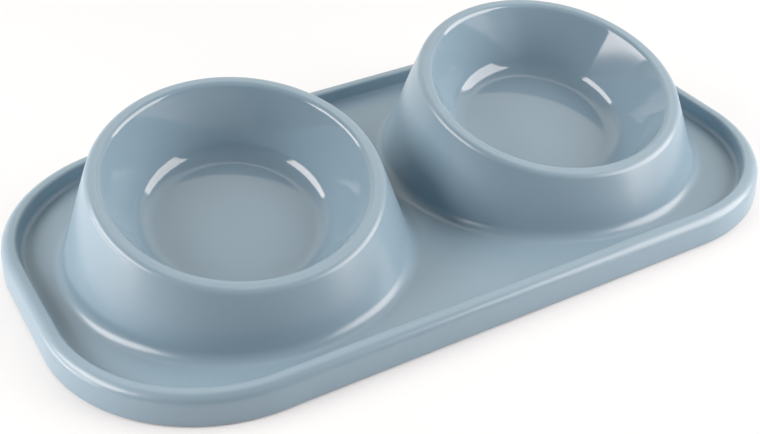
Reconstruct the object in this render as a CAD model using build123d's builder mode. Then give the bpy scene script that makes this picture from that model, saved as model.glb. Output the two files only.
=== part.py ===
"""Double pet bowl: one moulding of a tray with two tilted bowls, on six rubber feet.

Millimetres. Z is up and the table is at zero. X runs along the tray through both bowls,
and -Y is the front, towards which the two bowls are tilted.
"""

import os
from math import cos, radians, sin, sqrt, tan

from build123d import *

# Bowls
rim_radius = 70.6
rim_width = 6.4
rim_outer_rounding = 2.4
rim_inner_rounding = 1.2
rim_height = 52.5
rim_setback = 6.3
rim_tilt = 14.3
well_depth = 34.0
well_lean = 27.4
well_floor_fillet = 9.0

# Skirts, the flared and slightly bulged walls that carry the rims
skirt_base_radius = 86.2
skirt_bulge = 0.5
skirt_middle_share = 0.5
skirt_fillet = 6.6
skirt_strip = 0.8

# Tray
end_margin = 13.8
side_margin = 14.8
tray_corner_radius = 81.7
tray_height = 15.0
tray_depth = 8.6
tray_draft = 3.2
lip_width = 7.8
lip_outer_rounding = 2.0
lip_inner_rounding = 1.5
recess_draft = 6.0
recess_fillet = 4.0

# Moulding
wall = 2.4

# Rubber feet and the rings under the tray that hold them
foot_radius = 7.0
foot_stand = 1.0
foot_rounding = 1.2
foot_clearance = 0.2
foot_ring_wall = 1.8
foot_ring_depth = 3.0
foot_ring_gap = 1.5

# Length by which a cut runs past the surface it opens
overrun = 5.0

# Levels
tray_bottom = foot_stand
tray_top = tray_bottom + tray_height
tray_floor = tray_top - tray_depth
floor_underside = tray_floor - wall
rim_level = tray_bottom + rim_height

# Distance between the bowls: their fillets leave a strip of the tray's floor between them
skirt_flare = (skirt_base_radius - rim_radius) / (rim_level - tray_floor)
fillet_reach = skirt_fillet * (sqrt(1 + skirt_flare**2) - skirt_flare)
bowl_offset = skirt_base_radius + fillet_reach + skirt_strip / 2

# Plan of the tray
lip_inset = tray_height * tan(radians(tray_draft)) + lip_width
half_length = bowl_offset + skirt_base_radius + end_margin + lip_inset
half_width = skirt_base_radius + side_margin + lip_inset

# Places of the feet: along the diagonals of the corners, and at the middle of the long sides
foot_ring_radius = foot_radius + foot_clearance + foot_ring_wall
foot_inset = lip_inset + foot_ring_gap + foot_ring_radius
corner_step = (tray_corner_radius - foot_inset) / sqrt(2)
corner_foot_x = half_length - tray_corner_radius + corner_step
corner_foot_y = half_width - tray_corner_radius + corner_step
middle_foot_y = half_width - foot_inset
foot_places = {
    "foot_front_left": (-corner_foot_x, -corner_foot_y),
    "foot_front_middle": (0, -middle_foot_y),
    "foot_front_right": (corner_foot_x, -corner_foot_y),
    "foot_rear_left": (-corner_foot_x, corner_foot_y),
    "foot_rear_middle": (0, middle_foot_y),
    "foot_rear_right": (corner_foot_x, corner_foot_y),
}


def tray_outline(inset):
    """Draw the tray's plan, drawn in by an inset, in the sketch that is open."""
    RectangleRounded(
        2 * (half_length - inset), 2 * (half_width - inset), tray_corner_radius - inset
    )


def bowl_plane(side, share):
    """Give a plane across a bowl, at a share of the way from the tray's floor up to the rim."""
    tilt = radians(rim_tilt) * share
    return Plane(
        origin=(
            side * bowl_offset,
            -rim_setback * share,
            tray_floor + (rim_level - tray_floor) * share,
        ),
        x_dir=(1, 0, 0),
        z_dir=(0, -sin(tilt), cos(tilt)),
    )


def add_skirt(side, skin):
    """Add the flared body of a bowl, drawn in by a skin, to the part that is open."""
    straight_radius = skirt_base_radius + (rim_radius - skirt_base_radius) * skirt_middle_share
    middle_radius = straight_radius + skirt_bulge
    with BuildSketch(bowl_plane(side, 0).offset(-skin)) as base:
        Circle(skirt_base_radius - skin)
    with BuildSketch(bowl_plane(side, skirt_middle_share).offset(-skin)) as middle:
        Circle(middle_radius - skin)
    with BuildSketch(bowl_plane(side, 1).offset(-skin)) as top:
        Circle(rim_radius - skin)
    loft([base.sketch, middle.sketch, top.sketch])


def cut_well(side, skin):
    """Cut a well, grown outwards by a skin, about a bowl's axis from the part that is open."""
    rim = bowl_plane(side, 1)
    lean = radians(well_lean)
    floor = -well_depth - skin
    mouth_radius = rim_radius - rim_width + skin / cos(lean)
    top_radius = mouth_radius + overrun * tan(lean)
    floor_radius = mouth_radius + floor * tan(lean)
    with BuildSketch(Plane(rim.origin, rim.x_dir, rim.x_dir.cross(rim.z_dir))) as half_section:
        with BuildLine():
            FilletPolyline(
                (top_radius, overrun),
                (floor_radius, floor),
                (0, floor),
                radius=well_floor_fillet + skin,
            )
            Polyline((0, floor), (0, overrun), (top_radius, overrun))
        make_face()
    revolve(half_section.sketch, axis=Axis(rim.origin, rim.z_dir), mode=Mode.SUBTRACT)


def rim_faces(moulding):
    """Give the flat ring on top of each bowl of a moulding."""
    rings = moulding.faces().filter_by(bowl_plane(1, 1))
    return rings.filter_by(lambda face: len(face.inner_wires()) == 1)


# Space under the moulding: the channel behind the lip, the tray's underside and the skirts
with BuildPart() as hollow:
    with BuildSketch(Plane.XY.offset(tray_bottom)):
        tray_outline(wall)
    extrude(amount=tray_height - wall, taper=tray_draft)
    with BuildSketch(Plane.XY.offset(tray_top)):
        tray_outline(lip_inset - wall)
    extrude(amount=floor_underside - tray_top, taper=recess_draft, mode=Mode.SUBTRACT)
    for bowl_side in (-1, 1):
        add_skirt(bowl_side, wall)
        cut_well(bowl_side, wall)

# Tray and both bowls, one moulding
with BuildPart() as bowl_tray:
    with BuildSketch(Plane.XY.offset(tray_bottom)):
        tray_outline(0)
    extrude(amount=tray_height, taper=tray_draft)
    with BuildSketch(Plane.XY.offset(tray_top)):
        tray_outline(lip_inset)
    extrude(amount=-tray_depth, taper=recess_draft, mode=Mode.SUBTRACT)
    lip_face = bowl_tray.faces().filter_by(Plane.XY).sort_by(Axis.Z)[-1]
    fillet(lip_face.outer_wire().edges(), lip_outer_rounding)
    lip_face = bowl_tray.faces().filter_by(Plane.XY).sort_by(Axis.Z)[-1]
    fillet(lip_face.inner_wires()[0].edges(), lip_inner_rounding)
    floor_face = bowl_tray.faces().filter_by(Plane.XY).sort_by(Axis.Z)[-2]
    fillet(floor_face.outer_wire().edges(), recess_fillet)
    for bowl_side in (-1, 1):
        add_skirt(bowl_side, 0)
    floor_face = bowl_tray.faces().filter_by(lambda face: len(face.inner_wires()) > 1)[0]
    fillet(floor_face.inner_wires().edges(), skirt_fillet)
    for bowl_side in (-1, 1):
        cut_well(bowl_side, 0)
    fillet([face.outer_wire().edge() for face in rim_faces(bowl_tray)], rim_outer_rounding)
    fillet([face.inner_wires()[0].edge() for face in rim_faces(bowl_tray)], rim_inner_rounding)
    add(hollow.part, mode=Mode.SUBTRACT)
    with BuildSketch(Plane.XY.offset(floor_underside)):
        with Locations(*foot_places.values()):
            Circle(foot_ring_radius)
            Circle(foot_radius + foot_clearance, mode=Mode.SUBTRACT)
    extrude(amount=-foot_ring_depth)

os.makedirs("parts", exist_ok=True)
bowl_tray.part.label = "bowl_tray"
export_step(bowl_tray.part, "parts/bowl_tray.step")

# Rubber feet, each seated in its ring against the underside of the tray
for foot_name, foot_place in foot_places.items():
    with BuildPart() as foot:
        with BuildSketch():
            with Locations(foot_place):
                Circle(foot_radius)
        extrude(amount=floor_underside)
        fillet(foot.edges().sort_by(Axis.Z)[0], foot_rounding)
    foot.part.label = foot_name
    export_step(foot.part, f"parts/{foot_name}.step")
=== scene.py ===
"""Dress the double pet bowl: a smooth moulding, its rubber feet, their finishes and a plain studio.

All sizes are in metres and all places are in the part's own frame: Z is up, the table is at zero,
X runs along the tray through both bowls and -Y is the front.
"""

import logging
import math
from collections.abc import Callable
from dataclasses import dataclass, field
from enum import Enum
from itertools import pairwise

import bmesh
import bpy
from mathutils import Matrix, Quaternion, Vector


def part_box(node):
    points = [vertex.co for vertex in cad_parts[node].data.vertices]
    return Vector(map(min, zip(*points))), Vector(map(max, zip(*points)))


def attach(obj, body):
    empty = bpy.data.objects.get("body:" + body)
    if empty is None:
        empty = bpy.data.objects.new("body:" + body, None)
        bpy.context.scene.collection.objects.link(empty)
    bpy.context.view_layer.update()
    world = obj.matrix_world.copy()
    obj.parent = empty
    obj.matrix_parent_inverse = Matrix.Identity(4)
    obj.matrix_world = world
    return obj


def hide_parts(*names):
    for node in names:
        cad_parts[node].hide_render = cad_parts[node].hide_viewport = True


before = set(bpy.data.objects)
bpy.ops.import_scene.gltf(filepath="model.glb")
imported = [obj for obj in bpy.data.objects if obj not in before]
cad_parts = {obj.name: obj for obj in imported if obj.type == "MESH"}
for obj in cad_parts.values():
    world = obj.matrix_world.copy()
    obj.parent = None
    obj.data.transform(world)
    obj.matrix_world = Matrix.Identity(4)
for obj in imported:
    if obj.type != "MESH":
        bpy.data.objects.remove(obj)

Point = tuple[float, float]
Span = tuple[float, float]
Place = tuple[float, float, float]
Colour = tuple[float, float, float]
Edge = bmesh.types.BMEdge
Face = bmesh.types.BMFace
Piece = bpy.types.Object
Tree = bpy.types.NodeTree
Socket = bpy.types.NodeSocket

log = logging.getLogger("double_pet_bowl")


class Zone(Enum):
    """The parts of the moulding that differ in finish, by the number of their material slot."""

    SATIN = 0
    GLOSS = 1


class Element(Enum):
    """The kinds of mesh element that a test selects, by the name of their select mode."""

    EDGE = "EDGE"
    FACE = "FACE"


class Pairing(Enum):
    """The ways to put two numbers of a node tree together, by the name of their operation."""

    PRODUCT = "MULTIPLY"
    LARGER = "MAXIMUM"


def direction(azimuth: float, elevation: float = 0.0) -> Vector:
    """Give the unit vector towards a side of the room.

    Args:
        azimuth: angle from +X towards +Y, in degrees.
        elevation: angle over the table, in degrees.

    Returns:
        The vector.
    """
    around, up = math.radians(azimuth), math.radians(elevation)
    level = math.cos(up)
    return Vector((level * math.cos(around), level * math.sin(around), math.sin(up)))


def arc(centre: Point, radius: float, start: float, end: float, steps: int) -> list[Point]:
    """Lay points along an arc in a plane.

    Args:
        centre: middle of the arc.
        radius: radius of the arc.
        start: angle of the first point, in degrees, counted from the plane's first axis.
        end: angle of the last point, in degrees.
        steps: number of stretches between the points.

    Returns:
        The points, from the first to the last.
    """
    points = []
    for step in range(steps + 1):
        angle = math.radians(start + (end - start) * step / steps)
        points.append((centre[0] + radius * math.cos(angle), centre[1] + radius * math.sin(angle)))
    return points


def bisect_root(
    function: Callable[[float], float], low: float, high: float, rounds: int = 40
) -> float:
    """Find where a function that rises or falls steadily passes through zero.

    Args:
        function: the function of one number.
        low: lower end of the stretch that is searched.
        high: upper end of the stretch that is searched.
        rounds: number of times that the stretch is halved.

    Returns:
        The number at which the function is zero.
    """
    falling = function(low) > 0
    for _ in range(rounds):
        middle = (low + high) / 2
        if (function(middle) > 0) == falling:
            low = middle
        else:
            high = middle
    return (low + high) / 2


def node_middle(node: str) -> Vector:
    """Give the middle of a node's box at rest."""
    low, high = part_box(node)
    return (low + high) / 2


def pick(active: Piece, *others: Piece) -> None:
    """Select some pieces and nothing else.

    Args:
        active: the piece that becomes the active one.
        others: the other pieces.
    """
    bpy.ops.object.select_all(action="DESELECT")
    for piece in (active, *others):
        piece.select_set(True)
    bpy.context.view_layer.objects.active = active


def start_piece(name: str) -> Piece:
    """Add an empty mesh at the origin, alone selected and open in edit mode.

    Args:
        name: name of the new piece.

    Returns:
        The new piece.
    """
    piece = bpy.data.objects.new(name, bpy.data.meshes.new(name))
    bpy.context.scene.collection.objects.link(piece)
    pick(piece)
    bpy.ops.object.mode_set(mode="EDIT")
    return piece


def close_piece() -> None:
    """Leave edit mode."""
    bpy.ops.object.mode_set(mode="OBJECT")


def copy_piece(piece: Piece, name: str) -> Piece:
    """Copy a piece, with a mesh of its own.

    Args:
        piece: the piece to copy.
        name: name of the copy.

    Returns:
        The copy.
    """
    copy = piece.copy()
    copy.data = piece.data.copy()
    copy.name = name
    bpy.context.scene.collection.objects.link(copy)
    return copy


def select(piece: Piece, kind: Element, wanted: Callable[[Edge | Face], bool]) -> None:
    """Select the edges or the faces of the piece in edit mode that a test accepts.

    Args:
        piece: the piece that is open in edit mode.
        kind: what is selected.
        wanted: function that takes an edge or a face and tells whether it is wanted.
    """
    bpy.ops.mesh.select_mode(type=kind.value)
    bpy.ops.mesh.select_all(action="DESELECT")
    mesh = bmesh.from_edit_mesh(piece.data)
    for element in mesh.edges if kind is Element.EDGE else mesh.faces:
        element.select = wanted(element)
    mesh.select_flush_mode()
    bmesh.update_edit_mesh(piece.data)


@dataclass(frozen=True)
class Ring:
    """A circle across a bowl, hung between a front and a rear point of the bowl's middle plane."""

    front: Point
    rear: Point

    @property
    def centre(self) -> Vector:
        """The middle of the circle, at zero along X."""
        return Vector((0, (self.front[0] + self.rear[0]) / 2, (self.front[1] + self.rear[1]) / 2))

    @property
    def radius(self) -> float:
        """The circle's radius."""
        return math.dist(self.front, self.rear) / 2

    @property
    def tilt(self) -> float:
        """The circle's turn about X, in radians."""
        return math.atan2(self.rear[1] - self.front[1], self.rear[0] - self.front[0])


def loft_rings(rings: list[Ring], vertices: int, least_turn: float = 1e-9) -> None:
    """Add the first ring to the piece in edit mode and draw it out into a skin through the others.

    Args:
        rings: the rings in order. The last one stays selected.
        vertices: number of points on each ring.
        least_turn: angle in radians up to which two rings count as parallel.
    """
    first = rings[0]
    bpy.ops.mesh.select_mode(type="EDGE")
    bpy.ops.mesh.primitive_circle_add(
        vertices=vertices, radius=first.radius, location=first.centre, rotation=(first.tilt, 0, 0)
    )
    for before, after in pairwise(rings):
        bpy.ops.mesh.extrude_edges_move()
        scale = after.radius / before.radius
        bpy.ops.transform.resize(value=(scale, scale, scale), center_override=before.centre)
        # Without a window the operator turns the other way
        turn = before.tilt - after.tilt
        if abs(turn) > least_turn:
            bpy.ops.transform.rotate(value=turn, orient_axis="X", center_override=before.centre)
        bpy.ops.transform.translate(value=after.centre - before.centre)


@dataclass(frozen=True)
class SkirtLine:
    """A skirt's outline in the bowl's middle plane, along Y and Z, as a parabola of a share."""

    side: int
    base: Vector
    rise: Vector
    bend: Vector

    def place(self, share: float) -> Vector:
        """Give the outline's place at a share of its length."""
        return self.base + self.rise * share + self.bend * share**2

    def outward(self, share: float) -> Vector:
        """Give the direction that points out of the skirt at a share of its length."""
        along = (self.rise + 2 * self.bend * share).normalized()
        return Vector((along.y, -along.x)) * self.side

    def angle(self, pointer: Vector) -> float:
        """Give a direction's angle in degrees, counted from the direction away from the bowl."""
        return math.degrees(math.atan2(pointer.y, pointer.x * self.side))

    def side_arc(
        self, centre: Vector, radius: float, start: float, end: float, steps: int
    ) -> list[Point]:
        """Lay points along an arc on this side of the bowl.

        Args:
            centre: middle of the arc.
            radius: radius of the arc.
            start: angle of the first point, in degrees, counted as by the method angle.
            end: angle of the last point, in degrees.
            steps: number of stretches between the points.

        Returns:
            The points, from the first to the last.
        """
        points = arc((0, 0), radius, start, end, steps)
        return [(centre.x + self.side * away, centre.y + up) for away, up in points]


@dataclass(frozen=True)
class Bowl:
    """One tilted bowl: the fillet at its foot, the bulged skirt, the flat rim and the well."""

    floor_level: float
    wall: float
    offset: float = 0.09133
    rim_radius: float = 0.0706
    rim_width: float = 0.0064
    rim_outer_rounding: float = 0.004
    rim_inner_rounding: float = 0.0035
    rim_level: float = 0.0535
    rim_setback: float = 0.0063
    rim_tilt: float = math.radians(14.3)
    well_depth: float = 0.034
    well_lean: float = math.radians(27.4)
    well_floor_fillet: float = 0.012
    skirt_base_radius: float = 0.0862
    skirt_bulge: float = 0.0005
    skirt_middle_share: float = 0.5
    skirt_fillet: float = 0.0066
    floor_strip: float = 0.0001
    vertices: int = 256
    fillet_steps: int = 14
    skirt_steps: int = 14
    rounding_steps: int = 10
    wall_steps: int = 8
    floor_shares: tuple[float, ...] = (0.97, 0.8, 0.6, 0.4, 0.2, 0.06)

    @property
    def mouth_radius(self) -> float:
        """The radius of the well at the level of the rim, without the rim's rounding."""
        return self.rim_radius - self.rim_width

    def plane_point(self, share: float, sideways: float, up: float) -> Point:
        """Give a point of the bowl's middle plane from its place on a cross plane of the skirt.

        Args:
            share: place of the cross plane, from the tray's floor at 0 to the rim at 1.
            sideways: distance along the cross plane, towards the rear.
            up: distance above the cross plane.

        Returns:
            The point, along Y and Z.
        """
        tilt = self.rim_tilt * share
        middle = -self.rim_setback * share
        level = self.floor_level + (self.rim_level - self.floor_level) * share
        return (
            middle + sideways * math.cos(tilt) - up * math.sin(tilt),
            level + sideways * math.sin(tilt) + up * math.cos(tilt),
        )

    def skirt_line(self, side: int, skin: float) -> SkirtLine:
        """Draw the skirt's outline on one side through its base, its middle and the rim.

        Args:
            side: 1 for the rear and -1 for the front.
            skin: distance by which the outline is drawn in.

        Returns:
            The outline.
        """
        share = self.skirt_middle_share
        narrowing = self.rim_radius - self.skirt_base_radius
        middle_radius = self.skirt_base_radius + narrowing * share + self.skirt_bulge
        base = Vector(self.plane_point(0, side * (self.skirt_base_radius - skin), -skin))
        middle = Vector(self.plane_point(share, side * (middle_radius - skin), -skin))
        top = Vector(self.plane_point(1, side * (self.rim_radius - skin), -skin))
        bend = ((top - base) * share - (middle - base)) / (share - share**2)
        return SkirtLine(side, base, top - base - bend, bend)

    def outer_half(self, side: int) -> list[Point]:
        """Draw the bowl's outline on one side, from the tray's floor to the middle of the well.

        Args:
            side: 1 for the rear and -1 for the front.

        Returns:
            The points of the outline, along Y and Z.
        """
        line = self.skirt_line(side, 0)
        rim_middle = Vector(self.plane_point(1, 0, 0))
        rim_up = Vector((-math.sin(self.rim_tilt), math.cos(self.rim_tilt)))

        def fillet_middle(share: float) -> Vector:
            """Give the middle of the foot's fillet if it met the skirt at a share."""
            return line.place(share) + line.outward(share) * self.skirt_fillet

        def rounding_middle(share: float) -> Vector:
            """Give the middle of the rim's rounding if it met the skirt at a share."""
            return line.place(share) - line.outward(share) * self.rim_outer_rounding

        def above_floor(share: float) -> float:
            """Tell how far the fillet's middle lies over its level above the floor."""
            return fillet_middle(share).y - self.floor_level - self.skirt_fillet

        def above_rim(share: float) -> float:
            """Tell how far the rounding's middle lies over its level below the rim."""
            return (rounding_middle(share) - rim_middle).dot(rim_up) + self.rim_outer_rounding

        foot = bisect_root(above_floor, 0, self.skirt_middle_share)
        shoulder = bisect_root(above_rim, self.skirt_middle_share, 1)
        middle = fillet_middle(foot)
        touch = line.angle(-line.outward(foot))
        # The fillet turns from straight down towards the bowl, past -180 where the skirt leans out
        if touch > 0:
            touch -= 360
        points = [(middle.x + side * self.floor_strip, self.floor_level)]
        points += line.side_arc(middle, self.skirt_fillet, -90, touch, self.fillet_steps)
        for step in range(1, self.skirt_steps):
            share = foot + (shoulder - foot) * step / self.skirt_steps
            points.append(tuple(line.place(share)))
        points += line.side_arc(
            rounding_middle(shoulder),
            self.rim_outer_rounding,
            line.angle(line.outward(shoulder)),
            line.angle(rim_up),
            self.rounding_steps,
        )
        points += [self.plane_point(1, side * radius, up) for radius, up in self.well_outline()]
        return points

    def floor_corner(self, skin: float) -> tuple[list[Point], list[Point]]:
        """Draw the rounded corner of the well and its floor, grown outwards by a skin.

        Args:
            skin: distance by which the well is grown.

        Returns:
            The points of the corner and those of the floor, by their distance from the bowl's axis
            and their height over the rim.
        """
        lean = self.well_lean
        corner = self.well_floor_fillet + skin
        height = self.well_floor_fillet - self.well_depth
        wall_radius = self.mouth_radius + skin / math.cos(lean) + height * math.tan(lean)
        middle = (wall_radius - corner / math.cos(lean), height)
        fillet = arc(middle, corner, -math.degrees(lean), -90, self.fillet_steps)
        floor = [(middle[0] * share, -self.well_depth - skin) for share in self.floor_shares]
        return fillet, floor

    def well_outline(self) -> list[Point]:
        """Draw the well's outline from the flat of the rim to the middle of its floor.

        Returns:
            The points, by their distance from the bowl's axis and their height over the rim.
        """
        lean = self.well_lean
        edge = self.rim_inner_rounding
        middle = (self.mouth_radius - edge * math.tan(lean) + edge / math.cos(lean), -edge)
        points = arc(middle, edge, 90, 180 - math.degrees(lean), self.rounding_steps)
        fillet, floor = self.floor_corner(0)
        top, bottom = points[-1], fillet[0]
        for step in range(1, self.wall_steps):
            share = step / self.wall_steps
            radius = top[0] + (bottom[0] - top[0]) * share
            points.append((radius, top[1] + (bottom[1] - top[1]) * share))
        return points + fillet + floor

    def inner_half(self, side: int) -> list[Point]:
        """Draw the outline of the space under the bowl, from the tray's underside to the middle.

        Args:
            side: 1 for the rear and -1 for the front.

        Returns:
            The points of the outline, along Y and Z.
        """
        line = self.skirt_line(side, self.wall)
        lean = self.well_lean
        steps = self.skirt_steps
        mouth = self.mouth_radius + self.wall / math.cos(lean) - self.wall * math.tan(lean)
        fillet, floor = self.floor_corner(self.wall)
        points = [tuple(line.place(step / steps)) for step in range(steps + 1)]
        for radius, up in [(mouth, -self.wall), *fillet, *floor]:
            points.append(self.plane_point(1, side * radius, up))
        return points

    def build(self) -> Piece:
        """Draw both skins of the bowl out of circles, at the middle of the tray.

        Returns:
            The bowl, open where it joins the tray.
        """
        piece = start_piece("bowl")
        for half in (self.outer_half, self.inner_half):
            rings = [Ring(front, rear) for front, rear in zip(half(-1), half(1), strict=True)]
            loft_rings(rings, self.vertices)
            bpy.ops.mesh.edge_face_add()
        close_piece()
        return piece


@dataclass(frozen=True)
class Tray:
    """The long tray: its drafted wall, the raised lip, the recess and the channel under the lip."""

    half_length: float
    half_width: float
    bottom: float = 0.001
    height: float = 0.015
    depth: float = 0.0086
    wall: float = 0.0024
    corner_radius: float = 0.0817
    draft: float = math.radians(3.2)
    lip_width: float = 0.0078
    lip_outer_rounding: float = 0.005
    lip_inner_rounding: float = 0.0015
    recess_draft: float = math.radians(6.0)
    recess_fillet: float = 0.0025
    edge_rounding: float = 0.0005
    edge_start: float = 225.0
    floor_strip: float = 0.0004
    corner_steps: int = 48
    edge_steps: int = 5
    rounding_steps: int = 10

    @property
    def top(self) -> float:
        """The level of the lip."""
        return self.bottom + self.height

    @property
    def floor(self) -> float:
        """The level of the recess."""
        return self.top - self.depth

    @property
    def underside(self) -> float:
        """The level of the underside of the recess."""
        return self.floor - self.wall

    @property
    def lip_inset(self) -> float:
        """The distance from the tray's lower edge in to the recess at the level of the lip."""
        return self.height * math.tan(self.draft) + self.lip_width

    @property
    def edge_middle(self) -> Point:
        """The middle of the lower edge's rounding, by its distance in and its level."""
        inset = self.edge_rounding * (math.tan(self.draft) + 1 / math.cos(self.draft))
        return inset, self.bottom + self.edge_rounding

    def upper_outline(self) -> list[Point]:
        """Draw the tray's section from its lower edge over the lip down to the recess.

        Returns:
            The points, by their distance in from the lower edge and their level.
        """
        draft, recess = self.draft, self.recess_draft
        lip, brim, corner = self.lip_outer_rounding, self.lip_inner_rounding, self.recess_fillet
        lip_inset = (self.height - lip) * math.tan(draft) + lip / math.cos(draft)
        brim_inset = self.lip_inset + brim * math.tan(recess) - brim / math.cos(recess)
        recess_run = (self.depth - corner) * math.tan(recess)
        corner_inset = self.lip_inset + recess_run + corner / math.cos(recess)
        wall_angle, recess_angle = 180 - math.degrees(draft), math.degrees(recess)
        steps = self.rounding_steps
        points = arc(
            self.edge_middle, self.edge_rounding, self.edge_start, wall_angle, self.edge_steps
        )
        points += arc((lip_inset, self.top - lip), lip, wall_angle, 90, steps)
        points += arc((brim_inset, self.top - brim), brim, 90, recess_angle, steps)
        points += arc((corner_inset, self.floor + corner), corner, 180 + recess_angle, 270, steps)
        points.append((corner_inset + self.floor_strip, self.floor))
        return points

    def lower_outline(self) -> list[Point]:
        """Draw the tray's section from its lower edge up the channel and down to the underside.

        Returns:
            The points, by their distance in from the lower edge and their level.
        """
        channel = self.top - self.wall
        inner = self.lip_inset - self.wall
        return [
            self.upper_outline()[0],
            (self.edge_middle[0], self.bottom),
            (self.wall, self.bottom),
            (self.wall + (channel - self.bottom) * math.tan(self.draft), channel),
            (inner + (self.top - channel) * math.tan(self.recess_draft), channel),
            (inner + (self.top - self.underside) * math.tan(self.recess_draft), self.underside),
        ]

    def build(self) -> Piece:
        """Inset a rounded plate along both sections.

        Returns:
            The tray, open at the recess above and below.
        """
        piece = start_piece("tray")
        for outline, turned in ((self.upper_outline(), False), (self.lower_outline(), True)):
            inset, level = outline[0]
            bpy.ops.mesh.select_mode(type="VERT")
            bpy.ops.mesh.primitive_plane_add(size=2, location=(0, 0, level))
            bpy.ops.transform.resize(value=(self.half_length - inset, self.half_width - inset, 1))
            bpy.ops.mesh.bevel(
                affect="VERTICES", offset=self.corner_radius - inset, segments=self.corner_steps
            )
            bpy.ops.mesh.select_mode(type="FACE")
            if turned:
                bpy.ops.mesh.flip_normals()
            # Each step draws the plate in and lifts it along the section
            for before, after in pairwise(outline):
                rise = after[1] - before[1]
                bpy.ops.mesh.inset(
                    thickness=max(after[0] - before[0], 0), depth=-rise if turned else rise
                )
            bpy.ops.mesh.delete(type="ONLY_FACE")
        close_piece()
        return piece


@dataclass(frozen=True)
class FootRing:
    """A ring moulded under the tray, in which a foot is seated."""

    level: float
    outer_radius: float = 0.009
    inner_radius: float = 0.0072
    depth: float = 0.003
    vertices: int = 64

    def build(self, place: Point) -> Piece:
        """Draw the ring out of a circle.

        Args:
            place: the ring's middle, along X and Y.

        Returns:
            The ring, open where it joins the tray.
        """
        piece = start_piece("foot_ring")
        bpy.ops.mesh.select_mode(type="EDGE")
        middle = Vector((*place, self.level))
        bpy.ops.mesh.primitive_circle_add(
            vertices=self.vertices, radius=self.outer_radius, location=middle
        )
        scale = self.inner_radius / self.outer_radius
        bpy.ops.mesh.extrude_edges_move()
        bpy.ops.transform.translate(value=(0, 0, -self.depth))
        bpy.ops.mesh.extrude_edges_move()
        bpy.ops.transform.resize(value=(scale, scale, 1), center_override=middle)
        bpy.ops.mesh.extrude_edges_move()
        bpy.ops.transform.translate(value=(0, 0, self.depth))
        bpy.ops.mesh.edge_face_add()
        close_piece()
        return piece


def new_material(name: str) -> tuple[bpy.types.Material, Tree, bpy.types.Node]:
    """Add a material with nodes.

    Args:
        name: name of the material.

    Returns:
        The material, its node tree and its shader.
    """
    material = bpy.data.materials.new(name)
    material.use_nodes = True
    return material, material.node_tree, material.node_tree.nodes["Principled BSDF"]


def shade(colour: Colour, share: float) -> Colour:
    """Give a colour at a share of its brightness."""
    return tuple(part * share for part in colour)


def add_noise(tree: Tree, place: Socket, scale: float, detail: float) -> Socket:
    """Add a noise to a node tree.

    Args:
        tree: the node tree.
        place: the coordinates that the noise reads.
        scale: number of its patches on a metre.
        detail: number of finer layers that it holds.

    Returns:
        The noise, from 0 to 1.
    """
    noise = tree.nodes.new("ShaderNodeTexNoise")
    noise.inputs["Scale"].default_value = scale
    noise.inputs["Detail"].default_value = detail
    tree.links.new(place, noise.inputs["Vector"])
    return noise.outputs["Fac"]


def add_blend(tree: Tree, share: Socket, first: Colour, second: Colour) -> Socket:
    """Add a blend of two colours to a node tree.

    Args:
        tree: the node tree.
        share: the share of the second colour.
        first: the colour where the share is 0.
        second: the colour where the share is 1.

    Returns:
        The blended colour.
    """
    blend = tree.nodes.new("ShaderNodeMix")
    blend.data_type = "RGBA"
    blend.inputs["A"].default_value = (*first, 1)
    blend.inputs["B"].default_value = (*second, 1)
    tree.links.new(share, blend.inputs["Factor"])
    return blend.outputs["Result"]


def add_fade(tree: Tree, place: Socket, towards: Vector, limits: Span) -> Socket:
    """Add a smooth fade along a direction to a node tree.

    Args:
        tree: the node tree.
        place: the coordinates that the fade reads.
        towards: the direction along which it rises.
        limits: the distances along that direction at which it starts and ends.

    Returns:
        The fade, from 0 to 1.
    """
    along = tree.nodes.new("ShaderNodeVectorMath")
    along.operation = "DOT_PRODUCT"
    along.inputs[1].default_value = towards
    tree.links.new(place, along.inputs[0])
    fade = tree.nodes.new("ShaderNodeMapRange")
    fade.interpolation_type = "SMOOTHSTEP"
    fade.inputs["From Min"].default_value = limits[0]
    fade.inputs["From Max"].default_value = limits[1]
    tree.links.new(along.outputs["Value"], fade.inputs["Value"])
    return fade.outputs["Result"]


def combine(tree: Tree, pairing: Pairing, first: Socket, second: Socket | float) -> Socket:
    """Put two numbers of a node tree together.

    Args:
        tree: the node tree.
        pairing: what is made of the two numbers.
        first: the first number.
        second: the second number, which may be the same everywhere.

    Returns:
        The result.
    """
    node = tree.nodes.new("ShaderNodeMath")
    node.operation = pairing.value
    tree.links.new(first, node.inputs[0])
    if isinstance(second, float):
        node.inputs[1].default_value = second
    else:
        tree.links.new(second, node.inputs[1])
    return node.outputs[0]


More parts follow.
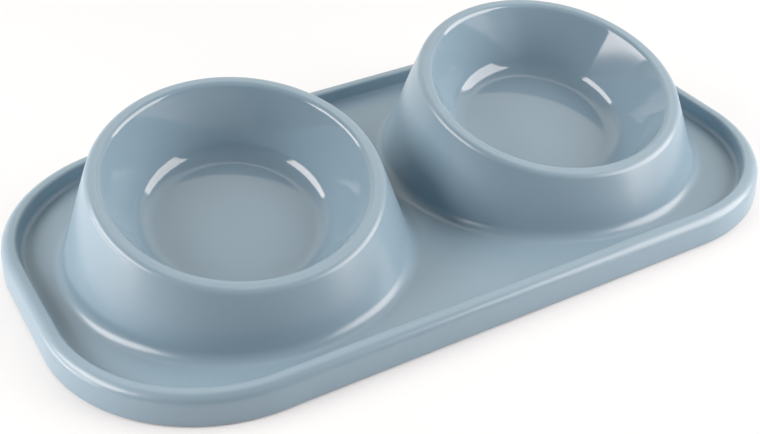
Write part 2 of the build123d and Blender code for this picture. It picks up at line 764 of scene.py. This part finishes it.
@dataclass(frozen=True)
class PlasticFinish:
    """Blue-grey moulded plastic with a fine grain."""

    name: str
    roughness: float
    roughness_spread: float
    grain_height: float
    colour: Colour = (0.267, 0.382, 0.464)
    index: float = 1.64
    colour_spread: float = 0.03
    cloud_scale: float = 35.0
    cloud_detail: float = 4.0
    smudge_scale: float = 60.0
    smudge_detail: float = 3.0
    grain_scale: float = 2600.0
    grain_detail: float = 2.0

    def make(self) -> bpy.types.Material:
        """Build the nodes of the colour's clouds, the smudges in the gloss and the grain.

        Returns:
            The material.
        """
        material, tree, shader = new_material(self.name)
        shader.inputs["IOR"].default_value = self.index
        place = tree.nodes.new("ShaderNodeTexCoord").outputs["Object"]

        cloud = add_noise(tree, place, self.cloud_scale, self.cloud_detail)
        darkest = shade(self.colour, 1 - self.colour_spread)
        lightest = shade(self.colour, 1 + self.colour_spread)
        tree.links.new(add_blend(tree, cloud, darkest, lightest), shader.inputs["Base Color"])

        smudge = add_noise(tree, place, self.smudge_scale, self.smudge_detail)
        rough = tree.nodes.new("ShaderNodeMapRange")
        rough.inputs["To Min"].default_value = self.roughness - self.roughness_spread
        rough.inputs["To Max"].default_value = self.roughness + self.roughness_spread
        tree.links.new(smudge, rough.inputs["Value"])
        tree.links.new(rough.outputs["Result"], shader.inputs["Roughness"])

        grain = add_noise(tree, place, self.grain_scale, self.grain_detail)
        bump = tree.nodes.new("ShaderNodeBump")
        bump.inputs["Distance"].default_value = self.grain_height
        tree.links.new(grain, bump.inputs["Height"])
        tree.links.new(bump.outputs["Normal"], shader.inputs["Normal"])
        return material


@dataclass(frozen=True)
class RubberFinish:
    """Dark matte rubber with a soft bloom."""

    name: str = "foot_rubber"
    colour: Colour = (0.1, 0.11, 0.12)
    roughness: float = 0.75
    bloom_scale: float = 400.0
    bloom_detail: float = 2.0
    dark_share: float = 0.8
    light_share: float = 1.3

    def make(self) -> bpy.types.Material:
        """Build the nodes of the bloom.

        Returns:
            The material.
        """
        material, tree, shader = new_material(self.name)
        shader.inputs["Roughness"].default_value = self.roughness
        place = tree.nodes.new("ShaderNodeTexCoord").outputs["Object"]
        bloom = add_noise(tree, place, self.bloom_scale, self.bloom_detail)
        darkest = shade(self.colour, self.dark_share)
        lightest = shade(self.colour, self.light_share)
        tree.links.new(add_blend(tree, bloom, darkest, lightest), shader.inputs["Base Color"])
        return material


@dataclass(frozen=True)
class FloorFinish:
    """Matte floor that looks white, greyer at the front as painted shade, with a painted contact
    shadow by the object; it keeps the object's cast shadow.
    """

    name: str = "pale_floor"
    tone: float = 0.9
    front_painted_shade_tone: float = 0.55
    front_azimuth: float = 240.0
    front_painted_shade_fade: Span = (0.2, 0.6)
    glow: float = 0.6
    painted_shadow_reach: float = 0.012

    def seen_rays(self, tree: Tree) -> Socket:
        """Add the test for rays that look at the floor, straight, mirrored or through glass.

        Args:
            tree: the material's node tree.

        Returns:
            The test, which is 1 for such a ray.
        """
        path = tree.nodes.new("ShaderNodeLightPath").outputs
        seen = combine(tree, Pairing.LARGER, path["Is Camera Ray"], path["Is Glossy Ray"])
        return combine(tree, Pairing.LARGER, seen, path["Is Transmission Ray"])

    def make(self) -> bpy.types.Material:
        """Build the nodes of the matte floor, its painted shade at the front and its glow, which an
        ambient occlusion fades close to the object as a painted contact shadow.

        Returns:
            The material.
        """
        material, tree, shader = new_material(self.name)
        shader.inputs["Roughness"].default_value = 1.0
        shader.inputs["Specular IOR Level"].default_value = 0.0
        place = tree.nodes.new("ShaderNodeTexCoord").outputs["Object"]
        # Painted shade: the floor turns grey towards the front, where the room is unlit
        front = add_fade(tree, place, direction(self.front_azimuth), self.front_painted_shade_fade)
        tone = add_blend(tree, front, (self.tone,) * 3, (self.front_painted_shade_tone,) * 3)
        tree.links.new(tone, shader.inputs["Base Color"])
        glow = tree.nodes.new("ShaderNodeEmission")
        glow.inputs["Strength"].default_value = 1 / self.tone
        tree.links.new(tone, glow.inputs["Color"])
        # Painted contact shadow: ambient occlusion takes the glow away under and beside the object
        painted_contact_shadow = tree.nodes.new("ShaderNodeAmbientOcclusion")
        painted_contact_shadow.inputs["Distance"].default_value = self.painted_shadow_reach
        seen = combine(tree, Pairing.PRODUCT, self.seen_rays(tree), self.glow)
        share = combine(tree, Pairing.PRODUCT, seen, painted_contact_shadow.outputs["AO"])
        mix = tree.nodes.new("ShaderNodeMixShader")
        tree.links.new(share, mix.inputs["Fac"])
        tree.links.new(shader.outputs["BSDF"], mix.inputs[1])
        tree.links.new(glow.outputs["Emission"], mix.inputs[2])
        tree.links.new(mix.outputs["Shader"], tree.nodes["Material Output"].inputs["Surface"])
        return material


@dataclass
class Moulding:
    """The one-piece moulding of the tray and both bowls."""

    tray: Tray
    bowl: Bowl
    foot_ring: FootRing
    foot_places: list[Point]
    finishes: dict[Zone, PlasticFinish]
    merge_distance: float = 0.00002
    smooth_angle: float = math.radians(35)
    gloss_start_share: float = 0.02
    piece: Piece = field(init=False)

    def build(self) -> None:
        """Join the tray, the bowls and the foot rings into one closed skin."""
        self.piece = self.tray.build()
        left = self.bowl.build()
        right = copy_piece(left, "right_bowl")
        for bowl, side in ((left, -1), (right, 1)):
            bowl.data.transform(Matrix.Translation((side * self.bowl.offset, 0, 0)))
        rings = [self.foot_ring.build(place) for place in self.foot_places]
        pick(self.piece, left, right, *rings)
        bpy.ops.object.join()
        self.piece.name = "moulding"
        self.piece.data.name = "moulding"
        bpy.ops.object.mode_set(mode="EDIT")
        bpy.ops.mesh.select_all(action="SELECT")
        bpy.ops.mesh.remove_doubles(threshold=self.merge_distance)
        for level in (self.tray.floor, self.tray.underside):
            self.fill_level(level)
        bpy.ops.mesh.select_all(action="SELECT")
        bpy.ops.mesh.normals_make_consistent(inside=False)
        close_piece()
        bpy.ops.object.shade_smooth_by_angle(angle=self.smooth_angle)
        weighted = self.piece.modifiers.new("weighted", "WEIGHTED_NORMAL")
        weighted.keep_sharp = True
        bpy.ops.object.modifier_apply(modifier=weighted.name)

    def fill_level(self, level: float) -> None:
        """Fill the flat of the tray between its open loops at one level.

        Args:
            level: height of the loops over the table.
        """

        def open_here(edge: Edge) -> bool:
            """Tell whether an edge is open and lies at the level."""
            flat = all(abs(corner.co.z - level) < self.merge_distance for corner in edge.verts)
            return edge.is_boundary and flat

        select(self.piece, Element.EDGE, open_here)
        bpy.ops.mesh.fill(use_beauty=True)

    def in_well(self, face: Face) -> bool:
        """Tell whether a face lies in a well, below the flat of its rim.

        Args:
            face: a face of the moulding.

        Returns:
            True in a well.
        """
        bowl = self.bowl
        middle = face.calc_center_median()
        rim_middle = Vector((math.copysign(bowl.offset, middle.x), *bowl.plane_point(1, 0, 0)))
        axis = Vector((0, -math.sin(bowl.rim_tilt), math.cos(bowl.rim_tilt)))
        height = (middle - rim_middle).dot(axis)
        radius = (middle - rim_middle - axis * height).length
        upward = face.normal.dot(axis) > 0
        start = -self.gloss_start_share * bowl.rim_inner_rounding
        deep = -bowl.well_depth - bowl.wall / 2 < height < start
        return upward and deep and radius < bowl.rim_radius - bowl.rim_width / 2

    def dress(self) -> None:
        """Give the wells their gloss and the rest its satin."""
        for zone in Zone:
            self.piece.data.materials.append(self.finishes[zone].make())
        pick(self.piece)
        bpy.ops.object.mode_set(mode="EDIT")
        select(self.piece, Element.FACE, self.in_well)
        self.piece.active_material_index = Zone.GLOSS.value
        bpy.ops.object.material_slot_assign()
        close_piece()
        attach(self.piece, "root")
        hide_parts("bowl_tray")


@dataclass
class Feet:
    """The rubber feet, each a rounded disc with a groove in its sole."""

    nodes: list[str]
    finish: RubberFinish
    rounding: float = 0.0012
    rounding_steps: int = 8
    groove_width: float = 0.0009
    groove_depth: float = 0.0005
    groove_inset: float = 0.0022
    smooth_angle: float = math.radians(40)
    vertices: int = 64
    pieces: list[Piece] = field(default_factory=list)

    def build(self) -> None:
        """Model one foot and copy it to the place of each foot."""
        low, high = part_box(self.nodes[0])
        radius, height = (high.x - low.x) / 2, high.z - low.z
        names = [f"{node}_rubber" for node in self.nodes]
        model = start_piece(names[0])
        bpy.ops.mesh.primitive_cylinder_add(
            vertices=self.vertices, radius=radius, depth=height, location=(0, 0, 0)
        )

        def at_sole(edge: Edge) -> bool:
            """Tell whether an edge lies in the sole."""
            return all(corner.co.z < 0 for corner in edge.verts)

        def is_sole(face: Face) -> bool:
            """Tell whether a face is the flat of the sole."""
            return face.normal.z < 0 and len(face.verts) == self.vertices

        select(model, Element.EDGE, at_sole)
        bpy.ops.mesh.bevel(affect="EDGES", offset=self.rounding, segments=self.rounding_steps)
        select(model, Element.FACE, is_sole)
        bpy.ops.mesh.inset(thickness=self.groove_inset - self.rounding)
        bpy.ops.mesh.inset(thickness=self.groove_width / 2, depth=-self.groove_depth)
        bpy.ops.mesh.inset(thickness=self.groove_width / 2, depth=self.groove_depth)
        close_piece()
        bpy.ops.object.shade_smooth_by_angle(angle=self.smooth_angle)
        self.pieces = [model, *(copy_piece(model, name) for name in names[1:])]
        for piece, node in zip(self.pieces, self.nodes, strict=True):
            piece.data.transform(Matrix.Translation(node_middle(node)))

    def dress(self) -> None:
        """Give the feet their rubber."""
        material = self.finish.make()
        for piece, node in zip(self.pieces, self.nodes, strict=True):
            piece.data.materials.append(material)
            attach(piece, "root")
            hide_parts(node)


@dataclass(frozen=True)
class Viewpoint:
    """The camera: its place, the side it looks to and how far down it looks, in degrees."""

    place: Place = (-0.27024, -0.45173, 0.36696)
    heading: float = 60.0364
    drop: float = 35.4427
    lens: float = 56.909
    sensor: float = 36.0
    nearest: float = 0.01
    farthest: float = 100.0

    def build(self) -> None:
        """Add the camera to the scene."""
        data = bpy.data.cameras.new("camera")
        data.lens, data.sensor_width = self.lens, self.sensor
        data.clip_start, data.clip_end = self.nearest, self.farthest
        camera = bpy.data.objects.new("camera", data)
        camera.location = self.place
        camera.rotation_euler = (math.radians(90 - self.drop), 0, math.radians(self.heading - 90))
        bpy.context.scene.collection.objects.link(camera)
        bpy.context.scene.camera = camera


@dataclass(frozen=True)
class Softbox:
    """A rectangular lamp that faces the object, placed and rolled by angles in degrees."""

    name: str
    azimuth: float
    elevation: float
    distance: float
    width: float
    height: float
    radiance: float
    roll: float = 0.0
    tint: Colour = (1.09, 1.0, 0.96)
    aim: Place = (0.0, 0.0, 0.03)

    def build(self) -> None:
        """Add the lamp to the scene, turned towards its aim."""
        away = direction(self.azimuth, self.elevation)
        data = bpy.data.lights.new(self.name, "AREA")
        data.shape = "RECTANGLE"
        data.size, data.size_y = self.width, self.height
        data.energy = self.radiance * math.pi * self.width * self.height
        data.color = self.tint
        lamp = bpy.data.objects.new(self.name, data)
        lamp.location = Vector(self.aim) + away * self.distance
        turn = (-away).to_track_quat("-Z", "Y") @ Quaternion((0, 0, 1), math.radians(self.roll))
        lamp.rotation_euler = turn.to_euler()
        bpy.context.scene.collection.objects.link(lamp)


@dataclass(frozen=True)
class Studio:
    """The camera, the pale floor, the soft lamps and the dim room with its bright backdrop."""

    viewpoint: Viewpoint
    softboxes: tuple[Softbox, ...]
    floor_finish: FloorFinish
    floor_size: float = 30.0
    room_light: Colour = (0.015, 0.03, 0.05)
    backdrop_light: Colour = (0.9, 0.86, 0.79)
    backdrop_azimuth: float = 60.0
    backdrop_fade: Span = (0.0, 0.5)

    def build(self) -> None:
        """Set up the whole studio."""
        self.viewpoint.build()
        self.add_floor()
        for softbox in self.softboxes:
            softbox.build()
        self.light_room()
        bpy.context.scene.view_settings.view_transform = "Standard"

    def add_floor(self) -> None:
        """Add the floor on which the object stands."""
        bpy.ops.object.select_all(action="DESELECT")
        bpy.ops.mesh.primitive_plane_add(size=self.floor_size, location=(0, 0, 0))
        floor = bpy.context.object
        floor.name = "floor"
        floor.data.materials.append(self.floor_finish.make())

    def light_room(self) -> None:
        """Light the room from a bright backdrop behind the object, fading into dim walls."""
        world = bpy.data.worlds.new("room")
        bpy.context.scene.world = world
        world.use_nodes = True
        tree = world.node_tree
        place = tree.nodes.new("ShaderNodeTexCoord").outputs["Generated"]
        share = add_fade(tree, place, direction(self.backdrop_azimuth), self.backdrop_fade)
        light = add_blend(tree, share, self.room_light, self.backdrop_light)
        tree.links.new(light, tree.nodes["Background"].inputs["Color"])


def plan_moulding(foot_nodes: list[str]) -> Moulding:
    """Size the moulding from its node's box and the places of the feet.

    Args:
        foot_nodes: names of the nodes of the feet.

    Returns:
        The moulding, not yet built.
    """
    tray_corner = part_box("bowl_tray")[1]
    tray = Tray(half_length=tray_corner.x, half_width=tray_corner.y)
    satin = PlasticFinish(
        "satin_plastic", roughness=0.29, roughness_spread=0.03, grain_height=0.000003
    )
    gloss = PlasticFinish(
        "gloss_plastic", roughness=0.075, roughness_spread=0.012, grain_height=0.0000002
    )
    return Moulding(
        tray=tray,
        bowl=Bowl(floor_level=tray.floor, wall=tray.wall),
        foot_ring=FootRing(level=tray.underside),
        foot_places=[tuple(node_middle(node).xy) for node in foot_nodes],
        finishes={Zone.SATIN: satin, Zone.GLOSS: gloss},
    )


def plan_studio() -> Studio:
    """Choose the lamps of the studio.

    Returns:
        The studio, not yet set up.
    """
    right = Softbox(
        "right_softbox",
        azimuth=-33.0,
        elevation=24.0,
        distance=1.0,
        width=0.87,
        height=0.8,
        radiance=5.3,
    )
    left = Softbox(
        "left_softbox",
        azimuth=167.0,
        elevation=31.2,
        distance=1.2,
        width=0.99,
        height=0.555,
        radiance=6.8,
        roll=-4.8,
    )
    strip = Softbox(
        "left_strip",
        azimuth=163.0,
        elevation=1.3,
        distance=0.8,
        width=0.56,
        height=0.065,
        radiance=14.0,
    )
    top = Softbox(
        "top_softbox",
        azimuth=50.0,
        elevation=60.0,
        distance=1.4,
        width=1.3,
        height=0.8,
        radiance=0.42,
    )
    return Studio(Viewpoint(), (right, left, strip, top), FloorFinish())


def main() -> None:
    """Build the moulding, the feet and the studio, and log the number of faces of each piece."""
    logging.basicConfig(level=logging.INFO, format="%(name)s: %(message)s")
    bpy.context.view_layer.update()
    foot_nodes = sorted(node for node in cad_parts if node.startswith("foot_"))
    moulding = plan_moulding(foot_nodes)
    feet = Feet(foot_nodes, RubberFinish())
    for assembly in (moulding, feet):
        assembly.build()
        assembly.dress()
    for piece in (moulding.piece, *feet.pieces):
        log.info("%s: %d faces", piece.name, len(piece.data.polygons))
    plan_studio().build()


if __name__ == "__main__":
    main()
